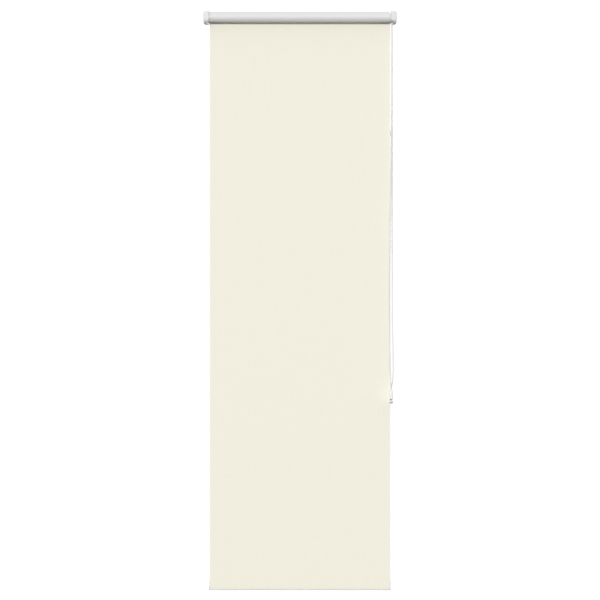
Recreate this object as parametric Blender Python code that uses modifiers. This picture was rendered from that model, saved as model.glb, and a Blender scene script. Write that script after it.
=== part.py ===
"""Roller blind with a side chain: wall brackets, roller, clutch, fabric, weighted hem and bead chain.

Metres, +Z up. The wall is the plane y = 0 and the room is at -Y. The roller's axis runs along X at z = 0,
AXIS_OUT in front of the wall. The chain is at the +X end.
"""

import math

import bmesh
import bpy
from mathutils import Vector

# --- Driving sizes -------------------------------------------------------------------------------

CLEARANCE = 0.0003  # between pieces that touch

FABRIC_WIDTH = 0.468
FABRIC_THICKNESS = 0.0004
DROP = 1.4845  # roller axis to the bottom of the hem, with the blind down
AXIS_OUT = 0.028  # wall to roller axis

TUBE_DIAMETER = 0.025
TUBE_WALL = 0.0008
WRAPS_THICKNESS = 0.00035  # fabric left on the tube with the blind down

PLUG_LENGTH = 0.029  # how far each end plug reaches into the tube
COLLAR_WIDTH = 0.0014
COLLAR_RIM = 0.00135  # how far the collars stand above the fabric roll

BEAD_DIAMETER = 0.0045
BEAD_PITCH = 0.006
WHEEL_POCKETS = 12
WHEEL_WIDTH = 0.0056
PULLEY_POCKETS = 9
GROOVE_HALF_WIDTH = 0.0024

SPIGOT_RADIUS = 0.005
SPRING_WIRE = 0.0009
SPRING_TURNS = 5
SPRING_SPACE = 0.0019  # from the spigot's sleeve clearance to the wheel's sleeve
SLEEVE_WALL = 0.0011
HUB_WEB = 0.004  # solid part of the wheel's hub, next to the collar
CLUTCH_PLATE = 0.0021
GUARD_WALL = 0.0006
BOSS_SIDE = 0.007
BOSS_PROUD = 0.0015
RETAINER_THICKNESS = 0.0015
CLUTCH_SCREW_RADIUS = 0.0015
CLUTCH_SCREW_LENGTH = 0.016

PIN_RADIUS = 0.0025
PIN_PROUD = 0.002  # beyond the bracket plate
PIN_TAIL = 0.003  # beyond the bush
PIN_SHOULDER = 0.0015
CHAMBER_RADIUS = 0.006
CHAMBER_ROOF = 0.002
BUSH_THICKNESS = 0.0027
RETURN_WIRE = 0.0007
RETURN_TURNS = 7
HUB_RADIUS = 0.0055

BRACKET_THICKNESS = 0.0015
BRACKET_FLANGE = 0.022
BRACKET_CORNER = 0.006
SCREW_INSET = 0.0075  # from the flange's free edge
SCREW_SPACING = 0.016
SCREW_SHANK_RADIUS = 0.0019
SCREW_HEAD_RADIUS = 0.0036
SCREW_HEAD_HEIGHT = 0.0022
SCREW_LENGTH = 0.025

COVER_WALL = 0.0015
COVER_END_SPACE = 0.003  # between bracket plate and cover
COVER_RUNNING_GAP = 0.0007  # between collar and cover
COVER_BELOW = 0.018  # roller axis to the cover's bottom
COVER_RADII = {"zmin": 0.0065, "zmax": 0.0032, "ymin": 0.004}  # of the outer face's edges
COVER_FRONT_RADIUS = 0.0055

HEM_HEIGHT = 0.024
HEM_THICKNESS = 0.0044
HEM_EDGE_RADIUS = 0.0018
BAR_EDGE_RADIUS = 0.001
BAR_CAP_FLANGE = 0.0014
BAR_CAP_TONGUE = 0.0055

CONNECTOR_LENGTH = 0.013
CONNECTOR_WALL = 0.0008

TENSIONER_X = 0.0023  # how far the tensioner hangs inside the wheel's plane
TENSIONER_OUT = 0.0305  # wall to pulley axis
TENSIONER_PULLEY_DROP = 0.9757
TENSIONER_ABOVE = 0.0097  # pulley axis to the top of the tensioner
TENSIONER_HEIGHT = 0.0343
TENSIONER_WALL = 0.0012
TENSIONER_CORNER = 0.006
TENSIONER_BEAD_ROOM = 0.0008
TENSIONER_HOLE_RADIUS = 0.0021
TENSIONER_HOLE_UP = 0.0095  # from the tensioner's bottom
TENSIONER_PIN_RADIUS = 0.001

# Hand-chosen points of the hanging strands: (x from the wheel's plane, y from the wall, z).
FRONT_STRAND = (
    (0.0000, -0.0395, -0.045),
    (-0.0002, -0.0395, -0.120),
    (-0.0006, -0.0394, -0.210),
    (-0.0014, -0.0393, -0.300),
    (-0.0030, -0.0392, -0.400),
    (-0.0048, -0.0391, -0.510),
    (-0.0060, -0.0391, -0.620),
    (-0.0065, -0.0391, -0.730),
    (-0.0062, -0.0391, -0.830),
    (-0.0052, -0.0391, -0.900),
    (-0.0036, -0.0391, -0.940),
    (-0.0024, -0.0391, -0.963),
)
BACK_STRAND = (
    (-0.0022, -0.0219, -0.963),
    (0.0010, -0.0219, -0.944),
    (0.0030, -0.0218, -0.920),
    (0.0028, -0.0215, -0.875),
    (0.0017, -0.0211, -0.820),
    (0.0009, -0.0204, -0.720),
    (0.0005, -0.0196, -0.600),
    (0.0003, -0.0187, -0.470),
    (0.0001, -0.0178, -0.330),
    (0.0000, -0.0170, -0.190),
    (0.0000, -0.0166, -0.080),
)
CONNECTOR_POINT = 3  # the front strand's point that the connector sits at

# --- Places that follow from them ----------------------------------------------------------------

tube_radius = TUBE_DIAMETER / 2
tube_bore = tube_radius - TUBE_WALL
roll_radius = tube_radius + CLEARANCE + WRAPS_THICKNESS
plug_radius = tube_bore - CLEARANCE
collar_radius = roll_radius + COLLAR_RIM
bead_radius = BEAD_DIAMETER / 2
wheel_pitch_radius = WHEEL_POCKETS * BEAD_PITCH / (2 * math.pi)
pulley_pitch_radius = PULLEY_POCKETS * BEAD_PITCH / (2 * math.pi)
guard_bore = wheel_pitch_radius + bead_radius + CLEARANCE
guard_radius = guard_bore + GUARD_WALL

# Stations along the roller, as distances from the middle of the blind.
fabric_end = FABRIC_WIDTH / 2
plug_start = fabric_end - PLUG_LENGTH
collar_start = fabric_end + CLEARANCE
collar_end = collar_start + COLLAR_WIDTH
wheel_end = collar_end + WHEEL_WIDTH
chain_plane = (collar_end + wheel_end) / 2
plate_start = wheel_end + CLEARANCE
plate_end = plate_start + CLUTCH_PLATE
bracket_start = plate_end + CLEARANCE
bracket_end = bracket_start + BRACKET_THICKNESS
cover_start = collar_end + COVER_RUNNING_GAP
cover_end = bracket_end + COVER_END_SPACE + COVER_WALL

cover_roof = guard_radius + CLEARANCE
cover_front = -AXIS_OUT - cover_roof - COVER_WALL
sheet_front = -AXIS_OUT + roll_radius + CLEARANCE
hem_bottom = -DROP
hem_top = hem_bottom + HEM_HEIGHT
tensioner_x = chain_plane - TENSIONER_X

ROUND_STEPS = 48
SMALL_STEPS = 24

COLOURS = {
    # name: (base colour, roughness, metallic)
    "white_plastic": ((0.82, 0.82, 0.81), 0.35, 0.0),
    "grey_plastic": ((0.55, 0.55, 0.54), 0.4, 0.0),
    "clear_plastic": ((0.78, 0.79, 0.78), 0.2, 0.0),
    "bracket_steel": ((0.62, 0.63, 0.65), 0.3, 1.0),
    "screw_steel": ((0.55, 0.56, 0.58), 0.3, 1.0),
    "spring_steel": ((0.35, 0.36, 0.38), 0.3, 1.0),
    "tube_steel": ((0.66, 0.67, 0.68), 0.35, 1.0),
    "bar_aluminium": ((0.75, 0.76, 0.77), 0.35, 1.0),
    "blackout_fabric": ((0.88, 0.85, 0.75), 0.9, 0.0),
    "fabric_coating": ((0.76, 0.76, 0.77), 0.6, 0.0),
}


# --- Helpers -------------------------------------------------------------------------------------


def clear_scene():
    for obj in list(bpy.data.objects):
        bpy.data.objects.remove(obj, do_unlink=True)


def new_collection(name):
    collection = bpy.data.collections.new(name)
    bpy.context.scene.collection.children.link(collection)
    return collection


def new_material(name):
    colour, roughness, metallic = COLOURS[name]
    material = bpy.data.materials.new(name)
    material.use_nodes = True
    shader = material.node_tree.nodes["Principled BSDF"]
    shader.inputs["Base Color"].default_value = (*colour, 1)
    shader.inputs["Roughness"].default_value = roughness
    shader.inputs["Metallic"].default_value = metallic
    return material


def place(obj, finish, helper):
    """Links the object as a part, or as a cutter if helper is set, and gives a part its own material."""
    if helper:
        cutters.objects.link(obj)
        obj.hide_render = True
        obj.display_type = "WIRE"
        return obj
    parts.objects.link(obj)
    material = new_material(finish)
    material.name = obj.name
    obj.data.materials.append(material)
    return obj


def shade_round(obj):
    obj.data.shade_smooth()
    obj.data.set_sharp_from_angle(angle=math.radians(35))


def object_from(bm, name, finish, helper):
    mesh = bpy.data.meshes.new(name)
    bm.to_mesh(mesh)
    bm.free()
    return place(bpy.data.objects.new(name, mesh), finish, helper)


def block(name, low, high, finish=None, radii=None, helper=False):
    """A box between two corners. radii rounds edges: {("xmax", "zmin"): 0.006} is the edge of those faces."""
    low, high = Vector(low), Vector(high)
    bm = bmesh.new()
    bmesh.ops.create_cube(bm, size=1)
    bmesh.ops.scale(bm, vec=high - low, verts=bm.verts)
    widest = max(radii.values()) if radii else 0
    weight = bm.edges.layers.float.new("bevel_weight_edge")
    for edge in bm.edges:
        middle = (edge.verts[0].co + edge.verts[1].co) / 2
        sides = [
            "xyz"[axis] + ("max" if middle[axis] > 0 else "min")
            for axis in range(3)
            if abs(middle[axis]) > 0.4 * (high - low)[axis]
        ]
        edge[weight] = (radii or {}).get(tuple(sides), 0) / widest if widest else 0
    obj = object_from(bm, name, finish, helper)
    obj.location = (low + high) / 2
    if widest:
        bevel = obj.modifiers.new("rounding", "BEVEL")
        bevel.limit_method = "WEIGHT"
        bevel.width = widest
        bevel.segments = 5
        shade_round(obj)
    return obj


def turned(name, profile, finish=None, side=1, steps=ROUND_STEPS, centre=None, helper=False):
    """A shape turned about an axis along X. profile is (radius, distance from the middle), outermost first,
    down the outer side. It is closed into a ring unless it starts on the axis. The turned mesh replaces the
    profile, so that its edges can be marked sharp by their angle."""
    solid = profile[0][0] == 0
    bm = bmesh.new()
    points = [bm.verts.new((radius, 0, along)) for radius, along in profile]
    for first, second in zip(points, points[1:]):
        bm.edges.new((first, second))
    if not solid:
        bm.edges.new((points[-1], points[0]))
    obj = object_from(bm, name, finish, helper)
    obj.location = centre or (0, -AXIS_OUT, 0)
    obj.rotation_euler = (0, side * math.pi / 2, 0)
    screw = obj.modifiers.new("turning", "SCREW")
    screw.steps = screw.render_steps = steps
    screw.use_merge_vertices = True
    screw.merge_threshold = 0.000001
    screw.use_smooth_shade = False
    bpy.context.view_layer.update()
    turned_mesh = obj.evaluated_get(bpy.context.evaluated_depsgraph_get())
    obj.data = bpy.data.meshes.new_from_object(turned_mesh)
    obj.modifiers.clear()
    shade_round(obj)
    return obj


def ring(name, inner, outer, start, end, **options):
    return turned(name, [(outer, end), (outer, start), (inner, start), (inner, end)], **options)


def drill(name, radius, low, high, axis):
    """A round cutter from low to high along one axis; low and high differ on that axis only."""
    bm = bmesh.new()
    length = (Vector(high) - Vector(low)).length
    bmesh.ops.create_cone(
        bm, cap_ends=True, segments=SMALL_STEPS, radius1=radius, radius2=radius, depth=length
    )
    obj = object_from(bm, name, None, True)
    obj.location = (Vector(low) + Vector(high)) / 2
    obj.rotation_euler = {"x": (0, math.pi / 2, 0), "y": (math.pi / 2, 0, 0), "z": (0, 0, 0)}[axis]
    return obj


def combine(obj, other, operation):
    modifier = obj.modifiers.new(operation.lower(), "BOOLEAN")
    modifier.operation = operation
    modifier.object = other
    return obj


def tube(name, points, radius, finish, sides=2):
    curve = bpy.data.curves.new(name, "CURVE")
    curve.dimensions = "3D"
    curve.bevel_depth = radius
    curve.bevel_resolution = sides
    curve.use_fill_caps = True
    spline = curve.splines.new("POLY")
    spline.points.add(len(points) - 1)
    for point, place_at in zip(spline.points, points):
        point.co = (*place_at, 1)
    return place(bpy.data.objects.new(name, curve), finish, False)


def coil(name, side, start, end, mean_radius, wire, turns, steps_per_turn=12):
    """A coil spring about the roller's axis, between two distances from the middle."""
    low, high = start + CLEARANCE + wire / 2, end - CLEARANCE - wire / 2
    count = turns * steps_per_turn
    points = []
    for step in range(count + 1):
        angle = 2 * math.pi * step / steps_per_turn
        along = low + (high - low) * step / count
        across = mean_radius * math.cos(angle), mean_radius * math.sin(angle)
        points.append((side * along, -AXIS_OUT + across[0], across[1]))
    return tube(name, points, wire / 2, "spring_steel", sides=1)


def groove(pitch_radius, centre):
    """Profile points of a round groove for the chain, from its outer edge to its inner edge."""
    reach = bead_radius + CLEARANCE
    edge_angle = math.asin(GROOVE_HALF_WIDTH / reach)
    points = []
    for step in range(9):
        angle = edge_angle * (1 - step / 4)
        points.append((pitch_radius - reach * math.cos(angle), centre + reach * math.sin(angle)))
    return points


def mirrored(side, start, end):
    """Lowest and highest x of a piece between two distances from the middle, on one side."""
    return min(side * start, side * end), max(side * start, side * end)


def outer(side):
    return "xmax" if side > 0 else "xmin"


# --- Wall fixings --------------------------------------------------------------------------------


def make_bracket(name, side):
    """Side plate that carries the roller, with a flange that bends inwards along the wall."""
    height = cover_roof - CLEARANCE
    x = mirrored(side, bracket_start, bracket_end)
    front = cover_front + COVER_WALL + CLEARANCE
    corners = {("ymin", "zmin"): BRACKET_CORNER, ("ymin", "zmax"): BRACKET_CORNER}
    plate = block(name, (x[0], front, -height), (x[1], 0, height), "bracket_steel", corners)
    x = mirrored(side, bracket_end - BRACKET_FLANGE, bracket_end)
    flange = block(name + "_flange", (x[0], -BRACKET_THICKNESS, -height), (x[1], 0, height), helper=True)
    combine(plate, flange, "UNION")
    for x_hole, z_hole in screw_places(side):
        hole = drill(
            name + "_hole",
            SCREW_SHANK_RADIUS + CLEARANCE,
            (x_hole, -2 * BRACKET_THICKNESS, z_hole),
            (x_hole, BRACKET_THICKNESS, z_hole),
            "y",
        )
        combine(plate, hole, "DIFFERENCE")
    return plate


def screw_places(side):
    x = side * (bracket_end - BRACKET_FLANGE + SCREW_INSET)
    return [(x, z) for z in (SCREW_SPACING / 2, -SCREW_SPACING / 2)]


def make_wall_screw(name, x, z):
    """Countersunk-free pan head, straight shank and a point, seated on the bracket's flange."""
    head_bottom = BRACKET_THICKNESS + CLEARANCE
    head_top = head_bottom + SCREW_HEAD_HEIGHT
    tip = head_bottom - SCREW_LENGTH
    profile = [
        (0, head_top),
        (0.62 * SCREW_HEAD_RADIUS, head_top),
        (0.9 * SCREW_HEAD_RADIUS, head_top - 0.35 * SCREW_HEAD_HEIGHT),
        (SCREW_HEAD_RADIUS, head_bottom),
        (SCREW_SHANK_RADIUS, head_bottom),
        (SCREW_SHANK_RADIUS, tip + 2.5 * SCREW_SHANK_RADIUS),
        (0, tip),
    ]
    screw = turned(name, profile, "screw_steel", steps=SMALL_STEPS, centre=(x, 0, z))
    screw.rotation_euler = (math.pi / 2, 0, 0)
    return screw


def make_cover(name, side):
    """Shell over the bracket, open to the roller and to the wall, with a notch below for the chain."""
    edges = {
        (outer(side), "zmin"): COVER_RADII["zmin"],
        (outer(side), "zmax"): COVER_RADII["zmax"],
        (outer(side), "ymin"): COVER_RADII["ymin"],
        ("ymin", "zmin"): COVER_FRONT_RADIUS,
        ("ymin", "zmax"): COVER_FRONT_RADIUS,
    }
    inner_edges = {edge: radius - COVER_WALL for edge, radius in edges.items()}
    x = mirrored(side, cover_start, cover_end)
    low = (x[0], cover_front, -COVER_BELOW)
    high = (x[1], -CLEARANCE, cover_roof + COVER_WALL)
    shell = block(name, low, high, "white_plastic", edges)
    x = mirrored(side, cover_start - COVER_WALL, cover_end - COVER_WALL)
    hollow = block(
        name + "_hollow",
        (x[0], cover_front + COVER_WALL, -COVER_BELOW + COVER_WALL),
        (x[1], COVER_WALL, cover_roof),
        radii=inner_edges,
        helper=True,
    )
    x = mirrored(side, cover_start - COVER_WALL, plate_start)
    strand = wheel_pitch_radius + bead_radius + COVER_WALL / 2
    notch = block(
        name + "_notch",
        (x[0], -AXIS_OUT - strand, -COVER_BELOW - COVER_WALL),
        (x[1], -AXIS_OUT + strand, -COVER_BELOW + 2 * COVER_WALL),
        helper=True,
    )
    combine(shell, hollow, "DIFFERENCE")
    return combine(shell, notch, "DIFFERENCE")


# --- Roller --------------------------------------------------------------------------------------


def make_roller():
    ring("roller_tube", tube_bore, tube_radius, -fabric_end, fabric_end, finish="tube_steel")
    ring(
        "fabric_roll",
        tube_radius + CLEARANCE,
        roll_radius,
        -fabric_end,
        fabric_end,
        finish="fabric_coating",
    )


def make_chain_end():
    """Clutch: the wheel turns on a fixed spigot, and two wrap springs hold it still when the chain rests."""
    hub_bore = SPIGOT_RADIUS + CLEARANCE
    spring_bore = SPIGOT_RADIUS + SPRING_SPACE
    sleeve_radius = spring_bore + SLEEVE_WALL
    sleeve_start = plug_start + RETAINER_THICKNESS / 2
    web_start = collar_start - HUB_WEB
    spigot_start = sleeve_start - 3 * CLEARANCE

    rim = groove(wheel_pitch_radius, chain_plane)
    rim_radius = rim[0][0]
    wheel = [(rim_radius, wheel_end)] + rim
    wheel += [
        (rim_radius, collar_end),
        (collar_radius, collar_end),
        (collar_radius, collar_start),
        (sleeve_radius, collar_start),
        (sleeve_radius, sleeve_start),
        (spring_bore, sleeve_start),
        (spring_bore, web_start),
        (hub_bore, web_start),
        (hub_bore, wheel_end),
    ]
    turned("chain_wheel", wheel, "white_plastic")
    ring(
        "drive_crown",
        sleeve_radius + CLEARANCE,
        plug_radius,
        sleeve_start,
        fabric_end,
        finish="grey_plastic",
    )

    screw_bore = CLUTCH_SCREW_RADIUS + CLEARANCE
    screw_head_top = spigot_start - RETAINER_THICKNESS - 2 * CLEARANCE
    screw_tip = screw_head_top + CLUTCH_SCREW_LENGTH
    bore_end = screw_tip + CLUTCH_SCREW_RADIUS
    plate_radius = guard_bore + GUARD_WALL / 2
    body = turned(
        "clutch_body",
        [
            (0, plate_end),
            (plate_radius, plate_end),
            (plate_radius, plate_start),
            (SPIGOT_RADIUS, plate_start),
            (SPIGOT_RADIUS, spigot_start),
            (screw_bore, spigot_start),
            (screw_bore, bore_end),
            (0, bore_end),
        ],
        "white_plastic",
    )
    guard = ring(
        "clutch_guard",
        guard_bore,
        guard_radius,
        cover_start,
        (plate_start + plate_end) / 2,
        helper=True,
    )
    below = block(
        "clutch_guard_cut",
        (cover_start - COVER_WALL, -2 * AXIS_OUT, -AXIS_OUT),
        (cover_end, AXIS_OUT, -CLEARANCE),
        helper=True,
    )
    combine(guard, below, "DIFFERENCE")
    combine(body, guard, "UNION")
    half = BOSS_SIDE / 2
    boss = block(
        "clutch_boss",
        ((plate_start + plate_end) / 2, -AXIS_OUT - half, -half),
        (bracket_end + BOSS_PROUD, -AXIS_OUT + half, half),
        helper=True,
    )
    combine(body, boss, "UNION")
    half += CLEARANCE
    window = block(
        "clutch_window",
        (bracket_start - BRACKET_THICKNESS, -AXIS_OUT - half, -half),
        (bracket_end + BRACKET_THICKNESS, -AXIS_OUT + half, half),
        helper=True,
    )
    combine(bpy.data.objects["right_bracket"], window, "DIFFERENCE")

    retainer_end = spigot_start - CLEARANCE
    ring(
        "clutch_retainer",
        screw_bore,
        spring_bore,
        retainer_end - RETAINER_THICKNESS,
        retainer_end,
        finish="bracket_steel",
        steps=SMALL_STEPS,
    )
    head_radius = 2 * CLUTCH_SCREW_RADIUS
    turned(
        "clutch_screw",
        [
            (0, screw_tip),
            (CLUTCH_SCREW_RADIUS, screw_tip),
            (CLUTCH_SCREW_RADIUS, screw_head_top),
            (head_radius, screw_head_top),
            (0.8 * head_radius, screw_head_top - head_radius / 2),
            (0, screw_head_top - head_radius / 2),
        ],
        "screw_steel",
        steps=SMALL_STEPS,
    )
    mean = SPIGOT_RADIUS + CLEARANCE + SPRING_WIRE / 2
    middle = (sleeve_start + web_start) / 2
    for name, start, end in (
        ("wrap_spring_inner", sleeve_start, middle),
        ("wrap_spring_outer", middle, web_start),
    ):
        coil(name, 1, start, end, mean, SPRING_WIRE, SPRING_TURNS)


def make_idle_end():
    """Idle plug in the tube's left end, with a sprung pin that is pushed in to lift the roller out."""
    pin_bore = PIN_RADIUS + CLEARANCE
    roof = collar_start - CHAMBER_ROOF
    hub_end = bracket_start - 3 * CLEARANCE
    turned(
        "idle_plug",
        [
            (HUB_RADIUS, hub_end),
            (HUB_RADIUS, collar_end),
            (collar_radius, collar_end),
            (collar_radius, collar_start),
            (plug_radius, collar_start),
            (plug_radius, plug_start),
            (CHAMBER_RADIUS, plug_start),
            (CHAMBER_RADIUS, roof),
            (pin_bore, roof),
            (pin_bore, hub_end),
        ],
        "white_plastic",
        side=-1,
    )
    bush_start = plug_start + CLEARANCE
    bush_end = bush_start + BUSH_THICKNESS
    ring(
        "idle_bush",
        pin_bore,
        CHAMBER_RADIUS - CLEARANCE,
        bush_start,
        bush_end,
        finish="grey_plastic",
        side=-1,
        steps=SMALL_STEPS,
    )
    shoulder_end = roof - CLEARANCE
    shoulder_start = shoulder_end - PIN_SHOULDER
    nose = bracket_end + PIN_PROUD
    turned(
        "idle_pin",
        [
            (0, nose),
            (0.6 * PIN_RADIUS, nose),
            (PIN_RADIUS, nose - 0.4 * PIN_RADIUS),
            (PIN_RADIUS, shoulder_end),
            (CHAMBER_RADIUS - 3 * CLEARANCE, shoulder_end),
            (CHAMBER_RADIUS - 3 * CLEARANCE, shoulder_start),
            (PIN_RADIUS, shoulder_start),
            (PIN_RADIUS, bush_start - PIN_TAIL),
            (0, bush_start - PIN_TAIL),
        ],
        "bracket_steel",
        side=-1,
        steps=SMALL_STEPS,
    )
    mean = (pin_bore + CHAMBER_RADIUS) / 2
    coil("idle_spring", -1, bush_end, shoulder_start, mean, RETURN_WIRE, RETURN_TURNS)
    hole = drill(
        "idle_pin_hole",
        pin_bore,
        (-bracket_end - BRACKET_THICKNESS, -AXIS_OUT, 0),
        (-bracket_start + BRACKET_THICKNESS, -AXIS_OUT, 0),
        "x",
    )
    combine(bpy.data.objects["left_bracket"], hole, "DIFFERENCE")


# --- Fabric and bottom rail ----------------------------------------------------------------------


def make_fabric():
    block(
        "fabric_sheet",
        (-fabric_end, sheet_front, hem_top + CLEARANCE),
        (fabric_end, sheet_front + FABRIC_THICKNESS, 0),
        "blackout_fabric",
    )
    edges = {("ymin", "zmin"): HEM_EDGE_RADIUS, ("ymax", "zmin"): HEM_EDGE_RADIUS}
    back = sheet_front + HEM_THICKNESS
    hem = block(
        "hem_pocket",
        (-fabric_end, sheet_front, hem_bottom),
        (fabric_end, back, hem_top),
        "blackout_fabric",
        edges,
    )
    skin = FABRIC_THICKNESS
    inner = block(
        "hem_pocket_hollow",
        (-fabric_end - HEM_THICKNESS, sheet_front + skin, hem_bottom + skin),
        (fabric_end + HEM_THICKNESS, back - skin, hem_top - skin),
        radii={edge: HEM_EDGE_RADIUS - skin for edge in edges},
        helper=True,
    )
    combine(hem, inner, "DIFFERENCE")


def make_bottom_rail():
    inset = FABRIC_THICKNESS + CLEARANCE
    front, back = sheet_front + inset, sheet_front + HEM_THICKNESS - inset
    low, high = hem_bottom + inset, hem_top - inset
    along_x = [(y, z) for y in ("ymin", "ymax") for z in ("zmin", "zmax")]
    rounded = {edge: BAR_EDGE_RADIUS for edge in along_x}
    bar_end = fabric_end - BAR_CAP_TONGUE
    block("bottom_bar", (-bar_end, front, low), (bar_end, back, high), "bar_aluminium", rounded)
    for name, side in (("left_bar_cap", -1), ("right_bar_cap", 1)):
        x = mirrored(side, fabric_end + CLEARANCE, fabric_end + CLEARANCE + BAR_CAP_FLANGE)
        soft = {edge: HEM_EDGE_RADIUS for edge in along_x}
        cap = block(
            name,
            (x[0], sheet_front, hem_bottom),
            (x[1], sheet_front + HEM_THICKNESS, hem_top),
            "grey_plastic",
            soft,
        )
        x = mirrored(side, bar_end + CLEARANCE, fabric_end + CLEARANCE + BAR_CAP_FLANGE / 2)
        tongue = block(name + "_tongue", (x[0], front, low), (x[1], back, high), radii=rounded, helper=True)
        combine(cap, tongue, "UNION")


# --- Chain and tensioner -------------------------------------------------------------------------


def arc(centre, radius, start, end, steps):
    """Points round an axis along X; 0 degrees faces the wall and 90 degrees is up."""
    points = []
    for step in range(steps + 1):
        angle = math.radians(start + (end - start) * step / steps)
        points.append(centre + Vector((0, radius * math.cos(angle), radius * math.sin(angle))))
    return points


def chain_route():
    """Over the front of the wheel, down, round the tensioner's pulley, up, and over the back of the wheel."""
    wheel = Vector((chain_plane, -AXIS_OUT, 0))
    pulley = Vector((tensioner_x, -TENSIONER_OUT, -TENSIONER_PULLEY_DROP))
    hang = Vector((chain_plane, 0, 0))
    route = arc(wheel, wheel_pitch_radius, 94, 180, 5)
    route += [hang + Vector(point) for point in FRONT_STRAND]
    route += arc(pulley, pulley_pitch_radius, 180, 360, 10)
    route += [hang + Vector(point) for point in BACK_STRAND]
    route += arc(wheel, wheel_pitch_radius, 0, 86, 5)
    return route


def smooth_curve(route, spacing):
    """Points on one smooth curve through the route, about a spacing apart."""
    points = []
    ends = [2 * route[0] - route[1]] + route + [2 * route[-1] - route[-2]]
    for before, start, end, after in zip(ends, ends[1:], ends[2:], ends[3:]):
        gaps = [max((b - a).length, 1e-9) ** 0.5 for a, b in ((before, start), (start, end), (end, after))]
        leave = (start - before) / gaps[0] - (end - before) / (gaps[0] + gaps[1]) + (end - start) / gaps[1]
        arrive = (end - start) / gaps[1] - (after - start) / (gaps[1] + gaps[2]) + (after - end) / gaps[2]
        leave, arrive = leave * gaps[1], arrive * gaps[1]
        pieces = max(1, round((end - start).length / spacing))
        for step in range(pieces):
            t = step / pieces
            points.append(
                (2 * t**3 - 3 * t**2 + 1) * start
                + (t**3 - 2 * t**2 + t) * leave
                + (3 * t**2 - 2 * t**3) * end
                + (t**3 - t**2) * arrive
            )
    return points + [route[-1]]


def make_chain():
    tube("bead_chain", smooth_curve(chain_route(), 8 * BEAD_DIAMETER), bead_radius, "white_plastic")
    bore = bead_radius + CLEARANCE
    half = CONNECTOR_LENGTH / 2
    at = Vector((chain_plane, 0, 0)) + Vector(FRONT_STRAND[CONNECTOR_POINT])
    sleeve = ring(
        "chain_connector",
        bore,
        bore + CONNECTOR_WALL,
        -half,
        half,
        finish="clear_plastic",
        steps=SMALL_STEPS,
        centre=at,
    )
    sleeve.rotation_euler = (0, 0, 0)


def make_tensioner():
    """Two-part holder that hangs in the chain's loop, with a pulley on a pin and a hole for a wall screw."""
    half_depth = pulley_pitch_radius + bead_radius + TENSIONER_BEAD_ROOM + TENSIONER_WALL
    room = half_depth - TENSIONER_WALL
    pulley_half = GROOVE_HALF_WIDTH + CLEARANCE
    floor = tensioner_x - pulley_half - CLEARANCE
    rim = tensioner_x + pulley_half
    top = -TENSIONER_PULLEY_DROP + TENSIONER_ABOVE
    bottom = top - TENSIONER_HEIGHT
    corners = {(y, z): TENSIONER_CORNER for y in ("ymin", "ymax") for z in ("zmin", "zmax")}
    y = (-TENSIONER_OUT - half_depth, -TENSIONER_OUT + half_depth)
    axis = Vector((tensioner_x, -TENSIONER_OUT, -TENSIONER_PULLEY_DROP))

    body = block(
        "tensioner_body",
        (floor - TENSIONER_WALL, y[0], bottom),
        (rim, y[1], top),
        "white_plastic",
        corners,
    )
    well = drill("tensioner_well", room, (floor, axis.y, axis.z), (rim + TENSIONER_WALL, axis.y, axis.z), "x")
    mouth = block(
        "tensioner_mouth",
        (floor, axis.y - room, axis.z),
        (rim + TENSIONER_WALL, axis.y + room, top + TENSIONER_WALL),
        helper=True,
    )
    combine(body, well, "DIFFERENCE")
    combine(body, mouth, "DIFFERENCE")
    hole_x, hole_z = (floor - TENSIONER_WALL + rim) / 2, bottom + TENSIONER_HOLE_UP
    screw_hole = drill(
        "tensioner_screw_hole",
        TENSIONER_HOLE_RADIUS,
        (hole_x, y[0] - TENSIONER_WALL, hole_z),
        (hole_x, y[1] + TENSIONER_WALL, hole_z),
        "y",
    )
    combine(body, screw_hole, "DIFFERENCE")
    lid_start = rim + CLEARANCE
    lid_end = lid_start + TENSIONER_WALL
    lid = block(
        "tensioner_lid", (lid_start, y[0], bottom), (lid_end, y[1], top), "white_plastic", corners
    )
    pin_bore = TENSIONER_PIN_RADIUS + CLEARANCE
    pin_hole = drill(
        "tensioner_pin_hole",
        pin_bore,
        (floor - 2 * TENSIONER_WALL, axis.y, axis.z),
        (lid_end + TENSIONER_WALL, axis.y, axis.z),
        "x",
    )
    combine(body, pin_hole, "DIFFERENCE")
    combine(lid, pin_hole, "DIFFERENCE")

    at_pulley = (tensioner_x, axis.y, axis.z)
    edge = groove(pulley_pitch_radius, 0)
    turned(
        "tensioner_pulley",
        [(edge[0][0], pulley_half - CLEARANCE / 2)]
        + edge
        + [
            (edge[-1][0], -pulley_half + CLEARANCE / 2),
            (pin_bore, -pulley_half + CLEARANCE / 2),
            (pin_bore, pulley_half - CLEARANCE / 2),
        ],
        "grey_plastic",
        steps=SMALL_STEPS,
        centre=at_pulley,
    )
    reach = lid_end - tensioner_x
    turned(
        "tensioner_pin",
        [(0, reach), (TENSIONER_PIN_RADIUS, reach), (TENSIONER_PIN_RADIUS, -reach), (0, -reach)],
        "screw_steel",
        steps=SMALL_STEPS,
        centre=at_pulley,
    )


clear_scene()
parts = new_collection("roller_blind")
cutters = new_collection("cutters")
for side_name, side_sign in (("left", -1), ("right", 1)):
    make_bracket(side_name + "_bracket", side_sign)
    make_cover(side_name + "_bracket_cover", side_sign)
    for level, (screw_x, screw_z) in zip(("upper", "lower"), screw_places(side_sign)):
        make_wall_screw(f"{side_name}_{level}_wall_screw", screw_x, screw_z)
make_roller()
make_chain_end()
make_idle_end()
make_fabric()
make_bottom_rail()
make_chain()
make_tensioner()
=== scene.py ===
# %% [markdown]
# # Roller blind with a side chain
#
# The CAD model gives this blind its sizes, its bodies and its joints. This lesson dresses it: cloth that
# hangs and wraps, a chain of real beads, moulded covers with soft edges, and a finish for every part.
# Everything is in metres. The wall is the plane y = 0, the room is at -Y, and the roller's axis runs
# along X at z = 0. The chain hangs at the +X end.

# %% Load the frame
import math

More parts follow.
